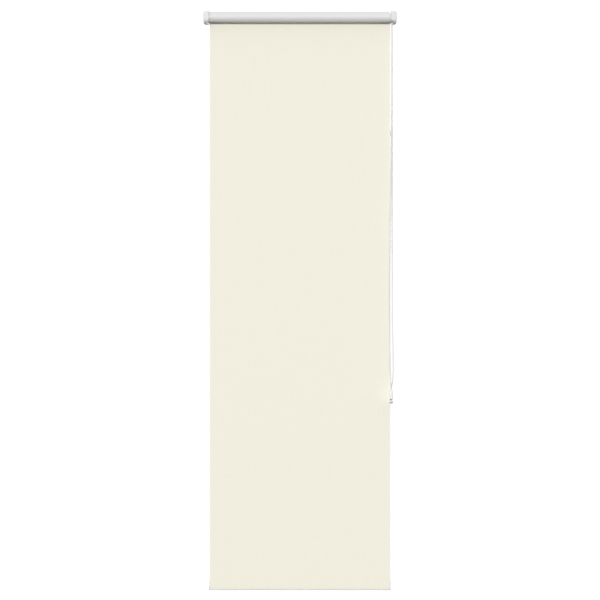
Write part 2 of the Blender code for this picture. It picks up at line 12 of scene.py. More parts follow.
import bpy
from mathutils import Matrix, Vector


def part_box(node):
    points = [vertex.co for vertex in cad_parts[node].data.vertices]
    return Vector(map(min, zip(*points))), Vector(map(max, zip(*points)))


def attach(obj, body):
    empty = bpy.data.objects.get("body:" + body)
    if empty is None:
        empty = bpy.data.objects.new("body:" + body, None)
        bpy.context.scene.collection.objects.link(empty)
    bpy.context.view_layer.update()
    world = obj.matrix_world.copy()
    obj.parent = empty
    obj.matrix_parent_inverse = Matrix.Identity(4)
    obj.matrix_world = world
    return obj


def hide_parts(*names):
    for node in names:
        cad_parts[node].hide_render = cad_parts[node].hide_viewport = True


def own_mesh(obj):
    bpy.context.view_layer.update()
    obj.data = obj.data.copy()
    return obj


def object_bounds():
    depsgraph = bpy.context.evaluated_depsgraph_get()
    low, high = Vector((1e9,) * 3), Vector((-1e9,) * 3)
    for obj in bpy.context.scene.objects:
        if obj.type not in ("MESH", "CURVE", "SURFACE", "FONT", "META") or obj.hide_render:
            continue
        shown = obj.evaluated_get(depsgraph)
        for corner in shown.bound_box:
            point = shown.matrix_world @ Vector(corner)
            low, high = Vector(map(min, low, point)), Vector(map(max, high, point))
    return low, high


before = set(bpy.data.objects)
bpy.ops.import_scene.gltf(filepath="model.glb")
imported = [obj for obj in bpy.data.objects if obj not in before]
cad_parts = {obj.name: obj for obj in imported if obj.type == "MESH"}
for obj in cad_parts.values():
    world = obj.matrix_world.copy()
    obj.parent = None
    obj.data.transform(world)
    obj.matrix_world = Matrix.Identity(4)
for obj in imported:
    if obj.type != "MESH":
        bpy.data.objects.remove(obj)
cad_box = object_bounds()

print("CAD nodes:", len(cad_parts))
print("whole object:", [round(high - low, 4) for low, high in zip(*cad_box)])

# %% [markdown]
# ## Camera and daylight
#
# The blind is seen square on from far away, so its lines stay parallel: a long lens at twenty metres
# does that. The light is a white room. A sky that is bright above and dimmer below, and one wide soft
# sun from above and in front, leave the fabric even and shade only the underside of the roll. Two wide
# suns from behind light the side that faces the wall.

# %% Camera
AXIS_Y = -0.028  # the roller's axis, and nearly the fabric's plane
VIEW_DISTANCE = 20.0
VIEW_HEIGHT = 1.5550  # what the frame takes in, at the fabric
VIEW_LIFT = 0.0016
SENSOR = 36  # millimetres

scene = bpy.context.scene
low, high = cad_box
middle_height = (low.z + high.z) / 2 + VIEW_LIFT
camera_data = bpy.data.cameras.new("camera")
camera_data.sensor_width = SENSOR
camera_data.lens = SENSOR * (VIEW_DISTANCE + AXIS_Y) / VIEW_HEIGHT
camera_data.clip_end = 3 * VIEW_DISTANCE
camera = bpy.data.objects.new("camera", camera_data)
camera.location = (0, -VIEW_DISTANCE, middle_height)
camera.rotation_euler = (math.pi / 2, 0, 0)
scene.collection.objects.link(camera)
scene.camera = camera
print("lens:", round(camera_data.lens, 1), "mm at height", round(middle_height, 4))

# %% Sky
SKY_BELOW = 0.09
SKY_ABOVE = 0.60
SKY_FROM = -0.35  # the sky brightens between these two heights of a direction
SKY_TO = 0.6
BACKDROP = 1.05  # what the camera itself sees all round

scene.view_settings.view_transform = "Standard"
world = bpy.data.worlds.new("white_room")
scene.world = world
world.use_nodes = True
sky = world.node_tree.nodes
wires = world.node_tree.links
direction = sky.new("ShaderNodeTexCoord")
split = sky.new("ShaderNodeSeparateXYZ")
wires.new(direction.outputs["Generated"], split.inputs["Vector"])
height_to_light = sky.new("ShaderNodeMapRange")
limits = {"From Min": SKY_FROM, "From Max": SKY_TO, "To Min": SKY_BELOW, "To Max": SKY_ABOVE}
for label, value in limits.items():
    height_to_light.inputs[label].default_value = value
wires.new(split.outputs["Z"], height_to_light.inputs["Value"])
seen = sky.new("ShaderNodeLightPath")
choose_white = sky.new("ShaderNodeMix")
choose_white.inputs["B"].default_value = BACKDROP
wires.new(seen.outputs["Is Camera Ray"], choose_white.inputs["Factor"])
wires.new(height_to_light.outputs["Result"], choose_white.inputs["A"])
wires.new(choose_white.outputs["Result"], sky["Background"].inputs["Strength"])
sky["Background"].inputs["Color"].default_value = (1, 1, 1, 1)
print("sky from", SKY_BELOW, "below to", SKY_ABOVE, "above")

# %% Suns
SUN_POWER, SUN_WIDTH, SUN_HEIGHT, SUN_SIDE = 2.27, 14, 13, -6
FILL_POWER, FILL_WIDTH, FILL_SIDE = 1.05, 40, 30


def add_sun(name, power, width, height, side):
    """A soft sun. Its width, its height above level and its turn to one side are in degrees."""
    light = bpy.data.lights.new(name, "SUN")
    light.energy = power
    light.angle = math.radians(width)
    sun = bpy.data.objects.new(name, light)
    sun.rotation_euler = (math.radians(90 - height), 0, math.radians(side))
    scene.collection.objects.link(sun)
    print(name, "power", power, "side", side)


add_sun("soft_sun", SUN_POWER, SUN_WIDTH, SUN_HEIGHT, SUN_SIDE)
add_sun("back_fill", FILL_POWER, FILL_WIDTH, 0, 180 - FILL_SIDE)
add_sun("back_fill", FILL_POWER, FILL_WIDTH, 0, 180 + FILL_SIDE)

# %% [markdown]
# ## Small tools for working as by hand
#
# Blender's operators act on whatever is selected, and a freshly loaded frame is selected all over. So
# every piece starts by clearing the selection. `choose` then picks faces, edges or points by a test on
# where they are or which way they face, which is what the mouse would do.

# %% Selecting


def leave_edit():
    bpy.ops.object.mode_set(mode="OBJECT")


def start_new():
    """Leaves edit mode and clears the selection, ready for a new piece."""
    if bpy.context.object and bpy.context.object.mode != "OBJECT":
        leave_edit()
    bpy.ops.object.select_all(action="DESELECT")


def pick(obj):
    """Makes this the one selected, active object."""
    start_new()
    obj.select_set(True)
    bpy.context.view_layer.objects.active = obj


def edit_all(obj):
    """Goes into edit mode with everything selected."""
    pick(obj)
    bpy.ops.object.mode_set(mode="EDIT")
    bpy.ops.mesh.select_all(action="SELECT")


def choose(obj, kind, test):
    """Goes into edit mode with the faces, edges or points that pass the test selected."""
    pick(obj)
    bpy.ops.object.mode_set(mode="EDIT")
    bpy.ops.mesh.select_mode(type=kind)
    bpy.ops.mesh.select_all(action="DESELECT")
    leave_edit()
    mesh = obj.data
    items = {"VERT": mesh.vertices, "EDGE": mesh.edges, "FACE": mesh.polygons}[kind]
    found = 0
    for item in items:
        item.select = bool(test(item))
        found += item.select
    bpy.ops.object.mode_set(mode="EDIT")
    return found


def ends_of(obj, edge):
    return [obj.data.vertices[i].co for i in edge.vertices]


def edge_middle(obj, edge):
    first, second = ends_of(obj, edge)
    return (first + second) / 2


def runs_along_x(obj, edge):
    first, second = ends_of(obj, edge)
    return abs((second - first).normalized().x) > 0.9


# %% Whole pieces


def fresh(name):
    """Takes the object that an operator has just added, names it and moves its place into its mesh."""
    obj = bpy.context.object
    obj.name = obj.data.name = name
    pick(obj)
    bpy.ops.object.transform_apply(location=True, rotation=True, scale=True)
    return obj


def apply_all(obj):
    pick(obj)
    for modifier in list(obj.modifiers):
        bpy.ops.object.modifier_apply(modifier=modifier.name)


def join_to(obj, others):
    """Joins other pieces into this one."""
    pick(obj)
    for other in others:
        other.select_set(True)
    bpy.ops.object.join()


def smooth(obj, degrees=35):
    pick(obj)
    bpy.ops.object.shade_smooth_by_angle(angle=math.radians(degrees))


def faces_of(obj):
    return len(obj.data.polygons)


# %% [markdown]
# ## Rounding a part that the CAD already shapes
#
# Moulded and bent parts have no knife-sharp edges, and light catches on the small radius. The CAD nodes
# are left as they are. A copy is merged, its flat faces are made whole again, and its sharp edges get a
# small bevel. Weighted normals keep the large flat faces shaded flat, so only the bevels look round.

# %% Copies with soft edges
SAME_PLACE = 0.000002  # points closer than this are one point


def copy_of(node, name, whole_faces=True):
    """A merged copy of a CAD node; whole_faces joins its triangles back into flat faces."""
    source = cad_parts[node]
    obj = bpy.data.objects.new(name, source.data.copy())
    obj.data.name = name
    obj.data.materials.clear()
    scene.collection.objects.link(obj)
    edit_all(obj)
    bpy.ops.mesh.remove_doubles(threshold=SAME_PLACE)
    if whole_faces:
        bpy.ops.mesh.dissolve_limited(angle_limit=math.radians(1))
    bpy.ops.mesh.normals_make_consistent(inside=False)
    leave_edit()
    return obj


def soften(obj, radius, segments=2, corner=35, clamp=True):
    """Bevels the edges that are sharper than a corner, in degrees, and levels the shading."""
    bevel = obj.modifiers.new("soft_edges", "BEVEL")
    bevel.width = radius
    bevel.segments = segments
    bevel.limit_method = "ANGLE"
    bevel.angle_limit = math.radians(corner)
    bevel.use_clamp_overlap = clamp
    apply_all(obj)
    smooth(obj)
    level = obj.modifiers.new("level_faces", "WEIGHTED_NORMAL")
    level.mode = "FACE_AREA"
    level.keep_sharp = True
    apply_all(obj)
    return obj


def soft_copy(node, name, material, radius, segments=2):
    """A copy of a CAD node with soft edges and its finish."""
    whole = node != "tensioner_body"  # its narrow U makes a poor single face
    piece = soften(copy_of(node, name, whole), radius, segments, clamp=whole)
    piece.data.materials.append(material)
    print(name, "faces:", faces_of(piece))
    return piece


# %% [markdown]
# ## Shader groups
#
# A white plastic cover, a bead and a wheel are all moulded the same way, so what they share is built
# once. `uneven` gives a slow cloudy value for gloss and colour. `grain` gives a fine height for a bump.
# `weave` is a plain weave of warp and weft over the cloth's own flat map, which is in metres. Its
# thread profile gives a bump, and it also darkens the colour in the hollows between threads as painted
# shade.

# %% Group tools


def new_group(name, inputs, outputs):
    """A shader group with named sockets; inputs is {name: value}, outputs is a list of names."""
    tree = bpy.data.node_groups.new(name, "ShaderNodeTree")
    for label, value in inputs.items():
        socket = tree.interface.new_socket(label, in_out="INPUT", socket_type="NodeSocketFloat")
        socket.default_value = value
    for label in outputs:
        tree.interface.new_socket(label, in_out="OUTPUT", socket_type="NodeSocketFloat")
    given = tree.nodes.new("NodeGroupInput").outputs
    result = tree.nodes.new("NodeGroupOutput").inputs
    print("group:", name)
    return tree, given, result


def feed(tree, socket, value):
    """Sets a socket to a number or a tuple, or links another node's output to it."""
    if isinstance(value, (int, float, tuple)):
        socket.default_value = value
    else:
        tree.links.new(value, socket)


def maths(tree, operation, *values):
    """A Math node on sockets or numbers; returns its output."""
    node = tree.nodes.new("ShaderNodeMath")
    node.operation = operation
    for socket, value in zip(node.inputs, values):
        feed(tree, socket, value)
    return node.outputs[0]


def drawn_out(tree, place, factors):
    """A place multiplied axis by axis; returns the new place."""
    node = tree.nodes.new("ShaderNodeVectorMath")
    node.operation = "MULTIPLY"
    feed(tree, node.inputs[0], place)
    feed(tree, node.inputs[1], factors)
    return node.outputs["Vector"]


def noise(tree, place, scale, detail):
    """A Noise texture's value at a place."""
    node = tree.nodes.new("ShaderNodeTexNoise")
    feed(tree, node.inputs["Vector"], place)
    feed(tree, node.inputs["Scale"], scale)
    feed(tree, node.inputs["Detail"], detail)
    return node.outputs["Fac"]


# %% Slow unevenness
uneven, given, result = new_group("uneven", {"Size": 0.02, "Low": 0.3, "High": 0.4}, ["Value"])
place = uneven.nodes.new("ShaderNodeTexCoord").outputs["Object"]
spread = uneven.nodes.new("ShaderNodeMapRange")
cloud = noise(uneven, place, maths(uneven, "DIVIDE", 1.0, given["Size"]), 4)
feed(uneven, spread.inputs["Value"], cloud)
feed(uneven, spread.inputs["From Min"], 0.3)
feed(uneven, spread.inputs["From Max"], 0.7)
feed(uneven, spread.inputs["To Min"], given["Low"])
feed(uneven, spread.inputs["To Max"], given["High"])
feed(uneven, result["Value"], spread.outputs["Result"])

# %% Fine grain
grain, given, result = new_group("grain", {"Size": 0.0004, "Stretch": 1.0}, ["Height"])
place = grain.nodes.new("ShaderNodeTexCoord").outputs["Object"]
lengths = grain.nodes.new("ShaderNodeCombineXYZ")
feed(grain, lengths.inputs["X"], maths(grain, "DIVIDE", 1.0, given["Stretch"]))
feed(grain, lengths.inputs["Y"], 1)
feed(grain, lengths.inputs["Z"], 1)
place = drawn_out(grain, place, lengths.outputs["Vector"])
feed(grain, result["Height"], noise(grain, place, maths(grain, "DIVIDE", 1.0, given["Size"]), 3))

# %% Plain weave
STREAKS_ACROSS = 900.0  # how fine the streaks are across a thread, and how long along it
STREAKS_ALONG = 14.0
LOW_THREAD = 0.4  # how high a thread is where it passes under, beside 1 where it passes over

outputs = ["Height", "Thread shade", "Streak"]
weave, given, result = new_group("weave", {"Pitch": 0.0005, "Slub": 0.35}, outputs)
flat_map = weave.nodes.new("ShaderNodeUVMap")
flat_map.uv_map = "cut"
place = flat_map.outputs["UV"]
split = weave.nodes.new("ShaderNodeSeparateXYZ")
feed(weave, split.inputs["Vector"], place)
upright = noise(weave, drawn_out(weave, place, (STREAKS_ACROSS, STREAKS_ALONG, 1)), 1, 2)
level = noise(weave, drawn_out(weave, place, (STREAKS_ALONG, STREAKS_ACROSS, 1)), 1, 2)
streaks = maths(weave, "ADD", upright, level)
counts = [maths(weave, "DIVIDE", split.outputs[axis], given["Pitch"]) for axis in "XY"]
steps = maths(weave, "ADD", *[maths(weave, "FLOOR", count) for count in counts])
over = maths(weave, "PINGPONG", steps, 1.0)
under = maths(weave, "SUBTRACT", 1.0, over)
threads = []
for count, on_top in zip(counts, (over, under)):
    ridge = maths(weave, "ABSOLUTE", maths(weave, "SINE", maths(weave, "MULTIPLY", count, math.pi)))
    lift = maths(weave, "MULTIPLY_ADD", on_top, 1 - LOW_THREAD, LOW_THREAD)
    threads.append(maths(weave, "MULTIPLY", ridge, lift))
thread = maths(weave, "MAXIMUM", *threads)
slub = maths(weave, "MULTIPLY", streaks, given["Slub"])
feed(weave, result["Height"], maths(weave, "ADD", thread, slub))
# The thread profile also goes out to the colour: painted shade, darker where threads dip and pass under.
feed(weave, result["Thread shade"], thread)
feed(weave, result["Streak"], maths(weave, "MULTIPLY", streaks, 0.5))

# %% [markdown]
# ## Finishes
#
# Each finish keeps its Principled shader in the material. Its colour wanders a little between two close
# tones, its gloss is cloudy, and a fine bump breaks up the highlight.

# %% Parts of a material


def new_material(name):
    """A material, its node tree and the inputs of its own shader."""
    material = bpy.data.materials.new(name)
    material.use_nodes = True
    tree = material.node_tree
    return material, tree, tree.nodes["Principled BSDF"].inputs


def place_group(tree, group, **values):
    """Places a shader group with its values; returns its outputs."""
    node = tree.nodes.new("ShaderNodeGroup")
    node.node_tree = group
    for label, value in values.items():
        node.inputs[label].default_value = value
    return node.outputs


def two_tones(tree, factor, dark, light):
    """A colour between two tones; a tone is (red, green, blue) or a socket."""
    node = tree.nodes.new("ShaderNodeMix")
    node.data_type = "RGBA"
    feed(tree, node.inputs["Factor"], factor)
    for label, tone in (("A", dark), ("B", light)):
        feed(tree, node.inputs[label], (*tone, 1) if isinstance(tone, tuple) else tone)
    return node.outputs["Result"]


def relief(tree, height, strength, depth):
    """A bump from a height; returns the normal."""
    node = tree.nodes.new("ShaderNodeBump")
    node.inputs["Strength"].default_value = strength
    node.inputs["Distance"].default_value = depth
    feed(tree, node.inputs["Height"], height)
    return node.outputs["Normal"]


# %% A finish from two tones
GLOSS_CLOUDS = 0.4  # the size of the gloss's clouds, beside the colour's


def finish(name, dark, light, size, gloss, bump, **constants):
    """dark and light are colours, size is the blotches' size, gloss is (low, high) roughness, and bump
    is (grain size, stretch along X, strength, depth). constants go on the shader's own sockets."""
    material, tree, shader = new_material(name)
    for label, value in constants.items():
        shader[label.replace("_", " ")].default_value = value
    tone = place_group(tree, uneven, Size=size, Low=0, High=1)["Value"]
    feed(tree, shader["Base Color"], two_tones(tree, tone, dark, light))
    dull = place_group(tree, uneven, Size=size * GLOSS_CLOUDS, Low=gloss[0], High=gloss[1])["Value"]
    feed(tree, shader["Roughness"], dull)
    fine = place_group(tree, grain, Size=bump[0], Stretch=bump[1])["Height"]
    feed(tree, shader["Normal"], relief(tree, fine, bump[2], bump[3]))
    print("finish:", name)
    return material


# %% Plastics
cover_plastic = finish(
    "moulded_white", (0.66, 0.66, 0.655), (0.695, 0.695, 0.69),
    0.012, (0.32, 0.42), (0.0007, 1, 0.12, 0.00005),
)
wheel_plastic = finish(
    "acetal_white", (0.79, 0.79, 0.785), (0.83, 0.83, 0.82),
    0.006, (0.24, 0.34), (0.0005, 1, 0.08, 0.00003),
)
bead_plastic = finish(
    "bead_white", (0.78, 0.78, 0.765), (0.84, 0.84, 0.825),
    0.05, (0.18, 0.28), (0.0008, 1, 0.06, 0.00003),
)
grey_plastic = finish(
    "moulded_grey", (0.75, 0.75, 0.735), (0.80, 0.80, 0.785),
    0.008, (0.36, 0.48), (0.0006, 1, 0.15, 0.00005),
)
clear_plastic = finish(
    "milky_sleeve", (0.82, 0.825, 0.815), (0.87, 0.875, 0.865),
    0.004, (0.14, 0.22), (0.0006, 1, 0.05, 0.00003),
    Transmission_Weight=0.12, IOR=1.49,
)

# %% Metals
zinc_steel = finish(
    "zinc_plate", (0.50, 0.51, 0.53), (0.66, 0.67, 0.69),
    0.007, (0.26, 0.46), (0.0011, 1, 0.10, 0.00005),
    Metallic=1.0,
)
screw_steel = finish(
    "screw_steel", (0.46, 0.47, 0.49), (0.62, 0.63, 0.65),
    0.002, (0.20, 0.36), (0.0003, 1, 0.12, 0.00003),
    Metallic=1.0,
)
spring_steel = finish(
    "spring_steel", (0.24, 0.25, 0.27), (0.36, 0.37, 0.39),
    0.003, (0.24, 0.38), (0.0002, 1, 0.15, 0.00002),
    Metallic=1.0,
)
# Black screw steel. On the screw in the tensioner's hole, its black is painted shade that darkens the
# deep hole.
hole_shade_black_steel = finish(
    "black_oxide_hole_shade", (0.035, 0.035, 0.04), (0.06, 0.06, 0.065),
    0.002, (0.34, 0.48), (0.0003, 1, 0.12, 0.00003),
)
tube_steel = finish(
    "drawn_tube", (0.56, 0.57, 0.58), (0.66, 0.67, 0.68),
    0.02, (0.28, 0.42), (0.0002, 40, 0.18, 0.00003),
    Metallic=1.0,
)
bar_aluminium = finish(
    "extruded_bar", (0.66, 0.67, 0.68), (0.75, 0.76, 0.77),
    0.02, (0.30, 0.42), (0.0002, 60, 0.20, 0.00003),
    Metallic=1.0,
)

# %% [markdown]
# ## The cloth's two faces
#
# Blackout cloth is cream and woven on the side that faces the room. On the other side it has a pale
# acrylic coating, which is what shows on the roll, because the cloth comes off the back of the roller.

# %% Cloth finishes
THREADS_APART = 0.00055


def cloth_finish(name, dark, light, rough, strength, depth):
    """dark and light are colours, rough is (low, high) roughness; strength and depth are the bump's."""
    material, tree, shader = new_material(name)
    shader["Specular IOR Level"].default_value = 0.25
    shader["Sheen Weight"].default_value = 0.08
    threads = place_group(tree, weave, Pitch=THREADS_APART)
    # Colour: painted shade in the weave's hollows from the thread profile, plus the slubs' own tone.
    weave_shade_and_slub_mask = maths(tree, "MULTIPLY_ADD", threads["Thread shade"], 0.5, threads["Streak"])
    feed(tree, shader["Base Color"], two_tones(tree, weave_shade_and_slub_mask, dark, light))
    dull = tree.nodes.new("ShaderNodeMapRange")
    feed(tree, dull.inputs["Value"], threads["Streak"])
    feed(tree, dull.inputs["To Min"], rough[0])
    feed(tree, dull.inputs["To Max"], rough[1])
    feed(tree, shader["Roughness"], dull.outputs["Result"])
    feed(tree, shader["Normal"], relief(tree, threads["Height"], strength, depth))
    print("cloth finish:", name)
    return material


room_side = cloth_finish(
    "woven_cream", (0.80, 0.775, 0.665), (0.90, 0.875, 0.765), (0.78, 0.92), 0.25, 0.00006
)
wall_side = cloth_finish(
    "pale_coating", (0.685, 0.685, 0.68), (0.735, 0.735, 0.73), (0.50, 0.62), 0.10, 0.00004
)

# %% [markdown]
# ## The bead chain
#
# The chain is one endless cord with a bead every six millimetres. It goes over the wheel, down the
# front, round the pulley in the tensioner and up the back. Its route is the same one the CAD follows.
# One bead with its bit of cord is modelled, an Array repeats it, and a Curve modifier bends the straight
# row along the route.

# %% Route of the chain
CHAIN_PLANE = 0.2385
BEAD = 0.0045
BEAD_SPACING = 0.006
WHEEL_POCKETS = 12
PULLEY_POCKETS = 9
WHEEL_PITCH_RADIUS = WHEEL_POCKETS * BEAD_SPACING / (2 * math.pi)
PULLEY_PITCH_RADIUS = PULLEY_POCKETS * BEAD_SPACING / (2 * math.pi)
WHEEL_CENTRE = Vector((CHAIN_PLANE, AXIS_Y, 0))
PULLEY_CENTRE = Vector((0.2362, -0.0305, -0.9757))
FRONT_STRAND = (
    (0.0000, -0.0395, -0.045),
    (-0.0002, -0.0395, -0.120),
    (-0.0006, -0.0394, -0.210),
    (-0.0014, -0.0393, -0.300),
    (-0.0030, -0.0392, -0.400),
    (-0.0048, -0.0391, -0.510),
    (-0.0060, -0.0391, -0.620),
    (-0.0065, -0.0391, -0.730),
    (-0.0062, -0.0391, -0.830),
    (-0.0052, -0.0391, -0.900),
    (-0.0036, -0.0391, -0.940),
    (-0.0024, -0.0391, -0.963),
)
BACK_STRAND = (
    (-0.0022, -0.0219, -0.963),
    (0.0010, -0.0219, -0.944),
    (0.0030, -0.0218, -0.920),
    (0.0028, -0.0215, -0.875),
    (0.0017, -0.0211, -0.820),
    (0.0009, -0.0204, -0.720),
    (0.0005, -0.0196, -0.600),
    (0.0003, -0.0187, -0.470),
    (0.0001, -0.0178, -0.330),
    (0.0000, -0.0170, -0.190),
    (0.0000, -0.0166, -0.080),
)
print("points on the strands:", len(FRONT_STRAND) + len(BACK_STRAND))

# %% Smooth lines


def arc(centre, radius, start, end, steps):
    """Points round an axis along X; 0 degrees faces the wall and 90 degrees is up."""
    points = []
    for step in range(steps + 1):
        angle = math.radians(start + (end - start) * step / steps)
        points.append(centre + Vector((0, radius * math.cos(angle), radius * math.sin(angle))))
    return points


def smooth_curve(route, spacing):
    """Points on one smooth curve through the route, about a spacing apart."""
    points = []
    ends = [2 * route[0] - route[1]] + route + [2 * route[-1] - route[-2]]
    for before, start, end, after in zip(ends, ends[1:], ends[2:], ends[3:]):
        sides = ((before, start), (start, end), (end, after))
        first, middle, last = (max((b - a).length, 1e-9) ** 0.5 for a, b in sides)
        leave = (start - before) / first - (end - before) / (first + middle) + (end - start) / middle
        arrive = (end - start) / middle - (after - start) / (middle + last) + (after - end) / last
        leave, arrive = leave * middle, arrive * middle
        pieces = max(1, round((end - start).length / spacing))
        for step in range(pieces):
            t = step / pieces
            points.append(
                (2 * t**3 - 3 * t**2 + 1) * start
                + (t**3 - 2 * t**2 + t) * leave
                + (3 * t**2 - 2 * t**3) * end
                + (t**3 - t**2) * arrive
            )
    return points + [route[-1]]


def line_length(points):
    return sum((b - a).length for a, b in zip(points, points[1:]))


# %% The whole loop
LOOP_END = 4  # degrees that each end of the line stops short of the top of the wheel
LINE_STEP = 0.002

hang = Vector((CHAIN_PLANE, 0, 0))
route = arc(WHEEL_CENTRE, WHEEL_PITCH_RADIUS, 90 + LOOP_END, 180, 5)
route += [hang + Vector(point) for point in FRONT_STRAND]
route += arc(PULLEY_CENTRE, PULLEY_PITCH_RADIUS, 180, 360, 10)
route += [hang + Vector(point) for point in BACK_STRAND]
route += arc(WHEEL_CENTRE, WHEEL_PITCH_RADIUS, 0, 90 - LOOP_END, 5)
chain_line = smooth_curve(route, LINE_STEP)
chain_length = line_length(chain_line)
closing_gap = WHEEL_PITCH_RADIUS * math.radians(2 * LOOP_END)
bead_count = round((chain_length + closing_gap) / BEAD_SPACING)
bead_pitch = (chain_length + closing_gap) / bead_count
print("chain:", round(chain_length, 4), "m,", bead_count, "beads")
print("beads are", round(bead_pitch * 1000, 3), "mm apart")

# %% One bead and its cord
CORD_RADIUS = 0.00055
CORD_INSIDE = 0.0024  # how much of each step between two beads lies inside them

start_new()
bpy.ops.mesh.primitive_uv_sphere_add(
    segments=8, ring_count=6, radius=BEAD / 2, location=(BEAD / 2, 0, 0), rotation=(0, math.pi / 2, 0)
)
chain = fresh("bead_chain_loop")
start_new()
bpy.ops.mesh.primitive_cylinder_add(
    vertices=6,
    radius=CORD_RADIUS,
    depth=bead_pitch - CORD_INSIDE,
    location=(BEAD / 2 + bead_pitch / 2, 0, 0),
    rotation=(0, math.pi / 2, 0),
)
join_to(chain, [fresh("cord")])
print("faces in one link:", faces_of(chain))

# %% Repeat it along the route
line = bpy.data.curves.new("chain_line", "CURVE")
line.dimensions = "3D"
spline = line.splines.new("POLY")
spline.points.add(len(chain_line) - 1)
for point, at in zip(spline.points, chain_line):
    point.co = (*at, 1)
guide = bpy.data.objects.new("chain_line", line)
scene.collection.objects.link(guide)
repeat = chain.modifiers.new("repeat", "ARRAY")
repeat.use_relative_offset = False
repeat.use_constant_offset = True
repeat.constant_offset_displace = (bead_pitch, 0, 0)
repeat.count = bead_count
bend = chain.modifiers.new("bend", "CURVE")
bend.object = guide
apply_all(chain)
bpy.data.objects.remove(guide)
smooth(chain, 60)
chain.data.materials.append(bead_plastic)
print("chain faces:", faces_of(chain))

# %% [markdown]
# ## The sheet
#
# A sheet of cloth with a weighted bar at its foot hangs almost flat. What gives it away as cloth is a
# slight cupping along its cut edges. A short Cloth simulation settles that, with the top row held where
# it leaves the roll and the lowest part held flat by the bar's weight, and no point may move more than a
# millimetre or so. A weighted cloth is taut, so it hardly moves. Then it gets its thickness, and its
# room side and its wall side each get their own finish.

# %% The cloth's sizes
sheet_low, sheet_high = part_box("fabric_sheet")
hem_low, hem_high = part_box("hem_pocket")
SHEET_TOP = sheet_high.z
SHEET_FOOT = hem_high.z
CLOTH = sheet_high.y - sheet_low.y
HALF_WIDTH = sheet_high.x
CUP = 0.0009  # how far the cut edges lift from flat before the simulation
MOST_MOVE = 0.0012
CALM_SHARE = 0.87  # below this share of the drop the bar's weight keeps the cloth flat
FOOT_GAP = 0.00003  # keeps the sheet's foot just clear of the hem that it is joined to
CLOTH_WEIGHT = 0.35  # kilograms to the square metre
POINT_AREA = 0.0001
SETTLE_FRAMES = 16
print("cloth:", round(CLOTH * 1000, 2), "mm thick, drop", round(SHEET_TOP - SHEET_FOOT, 4))

# %% Making cloth


def write_cut_map(obj, along):
    """The cloth's flat map, in metres: across the cloth, and along it by a function of each point."""
    layer = obj.data.uv_layers.new(name="cut")
    for loop in obj.data.loops:
        point = obj.data.vertices[loop.vertex_index].co
        layer.data[loop.index].uv = (point.x, along(point))


def make_cloth(obj, front, back, along):
    """Gives a sheet its thickness, a finish on its front and one on its back, and its flat map."""
    thick = obj.modifiers.new("thickness", "SOLIDIFY")
    thick.thickness = CLOTH
    thick.offset = -1
    thick.material_offset = 1
    thick.material_offset_rim = 1
    obj.data.materials.append(front)
    obj.data.materials.append(back)
    apply_all(obj)
    smooth(obj, 40)
    write_cut_map(obj, along)
    print(obj.name, "faces:", faces_of(obj))


def settle(obj, held):
    """A short Cloth simulation with some points held, its result applied and capped."""
    before = [v.co.copy() for v in obj.data.vertices]
    group = obj.vertex_groups.new(name="held")
    group.add([v.index for v in obj.data.vertices if held(v.co)], 1.0, "REPLACE")
    cloth = obj.modifiers.new("cloth", "CLOTH")
    cloth.settings.vertex_group_mass = "held"
    cloth.settings.mass = CLOTH_WEIGHT * POINT_AREA
    cloth.settings.quality = 6
    cloth.settings.tension_stiffness = 40
    cloth.settings.compression_stiffness = 40
    cloth.settings.shear_stiffness = 20
    cloth.settings.bending_stiffness = 2
    cloth.settings.effector_weights.gravity = 1
    cloth.point_cache.frame_start = 1
    cloth.point_cache.frame_end = SETTLE_FRAMES
    for moment in range(1, SETTLE_FRAMES + 1):
        scene.frame_set(moment)
    apply_all(obj)
    obj.vertex_groups.clear()
    scene.frame_set(1)
    furthest = 0
    for vertex, old in zip(obj.data.vertices, before):
        move = vertex.co - old
        if move.length > MOST_MOVE:
            vertex.co = old + move.normalized() * MOST_MOVE
        furthest = max(furthest, (vertex.co - old).length)
    return furthest


# %% Hang the sheet
start_new()
bpy.ops.mesh.primitive_grid_add(
    x_subdivisions=48, y_subdivisions=110, size=1, rotation=(math.pi / 2, 0, 0)
)
sheet = bpy.context.object
sheet.scale = (2 * HALF_WIDTH, SHEET_TOP - SHEET_FOOT - FOOT_GAP, 1)
sheet.location = (0, sheet_low.y, (SHEET_TOP + SHEET_FOOT + FOOT_GAP) / 2)
sheet = fresh("fabric_sheet_cloth")
for vertex in sheet.data.vertices:
    share = (SHEET_TOP - vertex.co.z) / (SHEET_TOP - SHEET_FOOT)
    reach = abs(vertex.co.x) / HALF_WIDTH
    if share < CALM_SHARE:
        swell = max(0.0, math.sin(math.pi * share / CALM_SHARE)) ** 0.5
        vertex.co.y += CUP * swell * reach**8
flat_below = SHEET_TOP - CALM_SHARE * (SHEET_TOP - SHEET_FOOT)
moved = settle(sheet, lambda co: co.z > SHEET_TOP - 0.001 or co.z < flat_below)
print("simulation moved the sheet by up to", round(moved * 1000, 2), "mm")
make_cloth(sheet, room_side, wall_side, lambda co: co.z)

# %% [markdown]
# ## The turns on the roll
#
# With the blind down, about two turns stay on the tube. The inner turn is part of the roller and turns
# with it. The outer turn is the upper end of the hanging sheet: it stays where it is, or its loose end
# would be carried round, and it runs smoothly into the sheet at the back of the roll. Its other end
# tucks in under the roll, where the cloth goes on to the inner turn.

# %% Pull a band of cloth along a line


